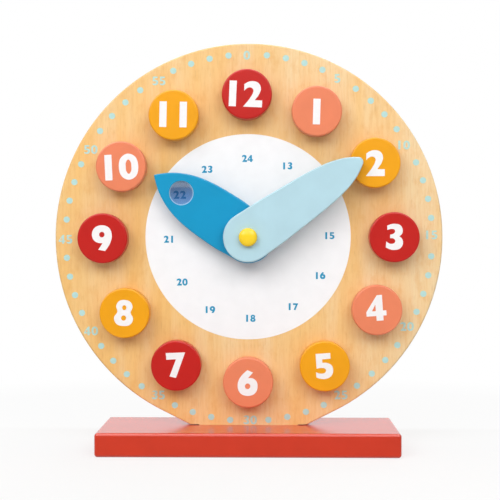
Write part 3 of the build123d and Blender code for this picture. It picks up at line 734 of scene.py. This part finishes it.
class ClockPlank(bpy.types.Operator):
    """Finish the plank"""

    bl_idname = "clock.plank"
    bl_label = "Plank"

    def execute(self, context):
        board = context.scene.clock_board
        # Gloss alkyd lacquer: mirror-like at a glancing angle, soft orange peel.
        gloss = sprayed_lacquer(
            "red_gloss_lacquer", board.plank, roughness=0.24, coat=0.5, peel=0.05,
            coat_roughness=0.22,
        )
        dress("base_plank", gloss)
        return {"FINISHED"}


class ClockBoard(bpy.types.Operator):
    """Finish the round plywood board"""

    bl_idname = "clock.board"
    bl_label = "Board"

    def execute(self, context):
        dress("dial_board", clear_lacquered_birch_plywood(context.scene.clock_board))
        return {"FINISHED"}


class ClockHourPrint(bpy.types.Operator):
    """Print the white circle and the numbers 13 to 24"""

    bl_idname = "clock.hour_print"
    bl_label = "Circle and hours 13 to 24"

    def execute(self, context):
        prints = context.scene.clock_prints
        rise, rim, hole = prints.ink_thickness, prints.circle_radius, prints.arbor_hole
        profile = [(hole, -rise / 2), (rim, -rise / 2), (rim, rise * 0.4), (rim - rise, rise)]
        profile += [(radius, rise) for radius in np.linspace(rim - 2 * rise, hole, 12)]
        white = screen_ink("white_screen_ink", prints.circle, spread=120.0)
        place = np.array((*CIRCLE_PLACE, 0.0)) * MM
        circle = skin("dial_circle", turned(profile, columns=192) + place, close_rows=True)
        add_piece("dial_circle", circle, white, "stand", smooth=False)
        outlines = ring_of_numbers(
            HOUR_LAYOUT, 30, prints.hour_ring, prints.hour_height, thin=0.003
        )
        blue = screen_ink("blue_screen_ink", prints.hour_ink)
        mesh = ink_mesh("dial_hours", outlines, rise * 0.8, rise * 1.8)
        add_piece("dial_hours", mesh, blue, "stand", smooth=False)
        return {"FINISHED"}


class ClockMinutePrint(bpy.types.Operator):
    """Print the minute dots and the numbers 0 to 55"""

    bl_idname = "clock.minute_print"
    bl_label = "Minute dots and numbers"

    def execute(self, context):
        prints = context.scene.clock_prints
        rise, radius, ring = prints.ink_thickness, prints.dot_radius, prints.minute_ring
        aqua = screen_ink("aqua_screen_ink", prints.minute_ink, spread=500.0)
        minutes = np.arange(60)
        turn = np.radians(6 * minutes[minutes % 5 > 0] + DOTS_TURN)
        centres = np.stack((ring * np.sin(turn), ring * np.cos(turn), 0 * turn), axis=-1)
        centres += np.array((*DOTS_PLACE, 0.0)) * MM
        profile = [(0, -rise / 2), (radius, -rise / 2), (radius, rise / 2)]
        profile += [(radius - rise / 2, rise), (radius / 2, rise), (0, rise)]
        dots = turned(profile, columns=24)[None] + centres[:, None, None]
        add_piece("minute_dots", skin("minute_dots", dots), aqua, "stand", smooth=False)
        inset = 1 * MM
        outlines = ring_of_numbers(
            MINUTE_LAYOUT, 6, ring - inset, prints.minute_height, thin=0.025
        )
        mesh = ink_mesh("minute_numbers", outlines, -rise / 2, rise)
        add_piece("minute_numbers", mesh, aqua, "stand", smooth=False)
        return {"FINISHED"}


class ClockDiscs(bpy.types.Operator):
    """Turn the twelve number discs, print their numerals and finish their pegs"""

    bl_idname = "clock.discs"
    bl_label = "Number discs"

    def execute(self, context):
        discs = context.scene.clock_discs
        rise = context.scene.clock_prints.ink_thickness
        # Satin polyurethane paint on beech: even, a little soft at the edges.
        paints = {
            name: sprayed_lacquer(
                f"disc_{name}_paint", getattr(discs, name), roughness=0.32, coat=0.05, peel=0.08
            )
            for name in ("yellow", "red", "coral")
        }
        white = screen_ink("white_pad_ink", discs.numeral, spread=400.0)
        dowel = beech_dowel(discs)
        bore = extent("disc_peg_12")[0] + 0.05 * MM
        bore_depth, chamfer, step = 7 * MM, 0.3 * MM, 0.2 * MM
        radius, thickness, edge = discs.radius, discs.thickness, discs.edge
        flat = radius - edge
        profile = np.vstack(
            (
                [(0, bore_depth), (bore, bore_depth), (bore, chamfer), (bore + chamfer, 0)],
                [(flat - step, 0)],
                quarter((flat, edge), edge, -90, 0),
                [(radius, edge + step), (radius, thickness - edge - step)],
                quarter((flat, thickness - edge), edge, 0, 90),
                [(flat - step, thickness), (radius * 0.6, thickness), (0, thickness)],
            )
        )
        shape = turned(profile, columns=128)
        for number, (paint, tilt, right, up) in DISCS.items():
            digits = f"{number:02d}"
            node, body = "number_disc_" + digits, "disc_" + digits
            place = middle(node) - DIAL_CENTRE
            name = "turned_disc_" + digits
            mesh = skin(name, shape + np.array((place.x, place.z, 0.0)))
            add_piece(name, mesh, paints[paint], body, [node])
            outlines = laid_at(
                numeral(str(number), discs.numeral_height, DISC_ADVANCE),
                place.x + right * MM,
                place.z + up * MM,
                tilt,
            )
            name = "disc_numeral_" + digits
            mesh = ink_mesh(name, outlines, thickness - rise / 2, thickness + rise)
            add_piece(name, mesh, white, body, smooth=False)
            dress("disc_peg_" + digits, dowel)
        return {"FINISHED"}


class ClockHands(bpy.types.Operator):
    """Finish the hands and the spacer, and fit the hour hand's clear window"""

    bl_idname = "clock.hands"
    bl_label = "Hands and window"

    def execute(self, context):
        hands = context.scene.clock_hands
        gear = context.scene.clock_works.gear
        # Satin lacquer on sanded hardwood: soft sheen, rounded edges catch the light.
        blue = sprayed_lacquer("blue_lacquer", hands.hour, roughness=0.32, coat=0.0, peel=0.06)
        pale = sprayed_lacquer(
            "pale_blue_lacquer", hands.minute, roughness=0.32, coat=0.1, peel=0.06
        )
        acetal = moulded_plastic(
            "acetal_washer", gear, roughness=0.4, texture_scale=1500.0, relief=0.1
        )
        dress("hour_hand", blue)
        dress("minute_hand", pale)
        dress("hand_spacer", acetal)
        centre = middle("hour_window")
        place = centre - DIAL_CENTRE
        rim, back, face = extent("hour_window")
        # A flat ground seat round a dome: its rise falls off with the radius squared.
        seat, rise, ease = 0.6 * MM, 0.85 * MM, 0.12 * MM
        share = np.linspace(1, 0, 24)
        dome = np.stack(((rim - seat) * share, face - rise * share**2), axis=-1)
        ledge = face - rise - ease
        profile = np.vstack(
            (
                [(0, back), (rim - 2 * ease, back), (rim, back + 2 * ease), (rim, ledge - ease)],
                [(rim - ease, ledge), (rim - seat + ease, ledge)],
                dome,
            )
        )
        lens = skin("window_lens", turned(profile) + np.array((place.x, place.z, 0.0)))
        acrylic = polished_clear_acrylic(hands, centre, rim - seat)
        add_piece("window_lens", lens, acrylic, "hour_hand", ["hour_window"])
        lens.set_sharp_from_angle(angle=math.radians(40))
        return {"FINISHED"}


class ClockKnob(bpy.types.Operator):
    """Turn the yellow knob"""

    bl_idname = "clock.knob"
    bl_label = "Knob"

    def execute(self, context):
        hands = context.scene.clock_hands
        rim, back, face = extent("centre_knob")
        dome = hands.knob_dome
        bore, bore_end = 1.55 * MM, back + 3.1 * MM
        edge, step = 0.5 * MM, 0.1 * MM
        # The dome is a quarter of a flat ellipse, so that it meets the side softly.
        turn = np.linspace(1, 0, 20) * math.pi / 2
        crown = np.stack((rim * np.sin(turn), face - dome + dome * np.cos(turn)), axis=-1)
        profile = np.vstack(
            (
                [(0, bore_end), (bore, bore_end), (bore, back), (rim - edge - step, back)],
                quarter((rim - edge, back + edge), edge, -90, 0),
                crown,
            )
        )
        mesh = skin("turned_knob", turned(profile))
        # Polished moulded ABS: bright, with a clear highlight on the dome.
        yellow = moulded_plastic(
            "yellow_abs", hands.knob, roughness=0.25, texture_scale=900.0, relief=0.03
        )
        add_piece("turned_knob", mesh, yellow, "minute_hand", ["centre_knob"])
        return {"FINISHED"}


class ClockWorks(bpy.types.Operator):
    """Finish the gear case, gears, nut, washer and screws"""

    bl_idname = "clock.works"
    bl_label = "Gear case and gears"

    def execute(self, context):
        works = context.scene.clock_works
        case = moulded_plastic(
            "textured_abs", works.case, roughness=0.45, texture_scale=1400.0, relief=0.25
        )
        acetal = moulded_plastic(
            "natural_acetal", works.gear, roughness=0.38, texture_scale=2200.0, relief=0.06
        )
        steel = zinc_plated_steel(works)
        for node in ("case_plate", "case_cover"):
            dress(node, case)
        for node in ("minute_pinion", "hour_wheel", "reduction_wheel"):
            dress(node, acetal)
        for node in (
            "base_screws", "case_screws", "friction_spring", "minute_arbor", "neck_nut",
            "neck_washer", "reduction_stud",
        ):
            dress(node, steel)
        return {"FINISHED"}


# --- Studio -------------------------------------------------------------------------

# Each soft box: the direction from the dial's centre in which it hangs, how far away, and
# its width and height, in metres. The rear one, low down, shows the back and the gear case,
# and stays out of the gloss.
LAMPS = {
    "key": ((-0.579, -0.623, 0.530), 2.2, (1.1, 1.1)),
    "overhead": ((0.0, -0.82, 0.57), 2.4, (3.0, 1.5)),
    "side": ((0.5, -0.7, 0.5), 2.2, (1.1, 1.1)),
    "rear": ((0.35, 0.93, 0.1), 2.2, (2.0, 1.2)),
}
FLOOR_RINGS = (0.0, 0.3, 0.6, 1.0, 2.0)
FLOOR_DEPTH = 0.1 * MM
# The camera's place, and how many degrees it looks down and to the left.
CAMERA_PLACE = (12.4 * MM, -701 * MM, 132.9 * MM)
CAMERA_DOWN, CAMERA_LEFT = 0.395, 0.933


class ClockStage(bpy.types.Operator):
    """Lay the floor, hang the lamps and set up the camera"""

    bl_idname = "clock.stage"
    bl_label = "Studio"

    def execute(self, context):
        stage = context.scene.clock_stage
        self.lay_floor(stage)
        self.light_world(context.scene, stage)
        for name in LAMPS:
            lamp = self.hang_lamp(name, getattr(stage, name))
            lamp.visible_glossy = name != "rear"
        self.set_camera(context.scene, stage)
        return {"FINISHED"}

    def lay_floor(self, stage):
        """A flat disc of floor: radius times cosine and sine of the turn, on the level."""
        radius = np.array((*FLOOR_RINGS, stage.floor_size))[:, None]
        turn = np.linspace(0, 2 * math.pi, 64, endpoint=False)
        level = np.full((len(radius), len(turn)), -FLOOR_DEPTH)
        points = np.stack((radius * np.cos(turn), radius * np.sin(turn), level), axis=-1)
        index = np.arange(level.size).reshape(level.shape)
        inner, outer = index[:-1], index[1:]
        faces = (inner, outer, np.roll(outer, -1, axis=1), np.roll(inner, -1, axis=1))
        mesh = bpy.data.meshes.new("floor")
        mesh.from_pydata(points.reshape(-1, 3), [], np.stack(faces, axis=-1).reshape(-1, 4))
        close_mesh(mesh)
        mesh.materials.append(white_paper_floor())
        new_object("floor", mesh)

    def light_world(self, scene, stage):
        """White all round where it is seen or seen through; as light, and in reflections
        of the room in front, less."""
        world = bpy.data.worlds.new("studio")
        scene.world = world
        world.use_nodes = True
        tree = world.node_tree
        tree.nodes.clear()
        rays = add_node(tree, "LightPath").outputs
        gloss, through = rays["Is Glossy Ray"], rays["Is Transmission Ray"]
        sight = add_node(tree, "TexCoord").outputs["Generated"]
        direction = add_node(tree, "SeparateXYZ", sight).outputs
        # The white backdrop hangs behind the object; the room in front is dim.
        room = add_node(tree, "MapRange", direction["Y"], -0.3, 0.15, 0.04, 1.0)
        mirrored = add_node(tree, "Math", gloss, room, operation="MULTIPLY")
        seen = add_node(tree, "Math", rays["Is Camera Ray"], through, operation="MAXIMUM")
        seen = add_node(tree, "Math", seen, mirrored, operation="MAXIMUM")
        # As light, the room is a skylight: full straight above, nothing from the level down.
        from_above = add_node(tree, "MapRange", direction["Z"], 0.0, 1.0, 0.0, stage.skylight)
        diffuse = rays["Is Diffuse Ray"]
        lighting = add_node(tree, "Math", diffuse, from_above, operation="MULTIPLY")
        # A long strip light right above the object, seen only in its gloss, edges its forms.
        strip = add_node(tree, "MapRange", direction["Z"], 0.8, 0.9, 0.0, stage.strip)
        strip = add_node(tree, "Math", gloss, strip, operation="MULTIPLY")
        seen = add_node(tree, "Math", seen, strip, operation="ADD")
        strength = add_node(tree, "Math", seen, lighting, operation="MAXIMUM")
        sky = add_node(tree, "Background", Color=WHITE, Strength=strength)
        add_node(tree, "OutputWorld", sky)

    def hang_lamp(self, name, power):
        """A soft box: as far from the dial's centre as the table says, facing it."""
        direction, distance, size = LAMPS[name]
        light = bpy.data.lights.new(name + "_lamp", "AREA")
        light.shape = "RECTANGLE"
        light.size, light.size_y = size
        light.energy = power
        lamp = new_object(name + "_lamp", light)
        away = Vector(direction).normalized()
        lamp.location = DIAL_CENTRE + away * distance
        lamp.rotation_euler = away.to_track_quat("Z", "Y").to_euler()
        return lamp

    def set_camera(self, scene, stage):
        """A short tele lens a little right of the middle, turned slightly to the left."""
        data = bpy.data.cameras.new("camera")
        data.lens = stage.lens
        data.sensor_width = 36.0
        data.clip_start, data.clip_end = 0.05, 50.0
        camera = new_object("camera", data)
        camera.location = CAMERA_PLACE
        camera.rotation_euler = (math.radians(90 - CAMERA_DOWN), 0.0, math.radians(CAMERA_LEFT))
        scene.camera = camera


class ClockPanel(bpy.types.Panel):
    """Lists the clock's pieces and their settings"""

    bl_idname = "VIEW3D_PT_clock"
    bl_label = "Teaching clock"
    bl_space_type = "VIEW_3D"
    bl_region_type = "UI"
    bl_category = "Clock"

    def draw(self, context):
        for operator in OPERATORS:
            self.layout.operator(operator.bl_idname)
        for name, _ in SETTINGS:
            group = getattr(context.scene, name)
            box = self.layout.box()
            for field in group.bl_rna.properties:
                if field.identifier not in ("rna_type", "name"):
                    box.prop(group, field.identifier)


SETTINGS = (
    ("clock_board", ClockBoardSettings),
    ("clock_prints", ClockPrintSettings),
    ("clock_discs", ClockDiscSettings),
    ("clock_hands", ClockHandSettings),
    ("clock_works", ClockWorksSettings),
    ("clock_stage", ClockStageSettings),
)
OPERATORS = (
    ClockPlank, ClockBoard, ClockHourPrint, ClockMinutePrint, ClockDiscs, ClockHands, ClockKnob,
    ClockWorks, ClockStage,
)


def register():
    """Registers the settings, the operators and the panel."""
    for name, group in SETTINGS:
        bpy.utils.register_class(group)
        setattr(bpy.types.Scene, name, PointerProperty(type=group))
    for operator in OPERATORS:
        bpy.utils.register_class(operator)
    bpy.utils.register_class(ClockPanel)


def unregister():
    """Takes the panel, the operators and the settings away again."""
    bpy.utils.unregister_class(ClockPanel)
    for operator in reversed(OPERATORS):
        bpy.utils.unregister_class(operator)
    for name, group in reversed(SETTINGS):
        delattr(bpy.types.Scene, name)
        bpy.utils.unregister_class(group)


def main():
    """Makes every piece and the studio."""
    register()
    for operator in OPERATORS:
        category, name = operator.bl_idname.split(".")
        getattr(getattr(bpy.ops, category), name)()
    bpy.context.scene.view_settings.view_transform = "Standard"


if __name__ == "__main__":
    main()
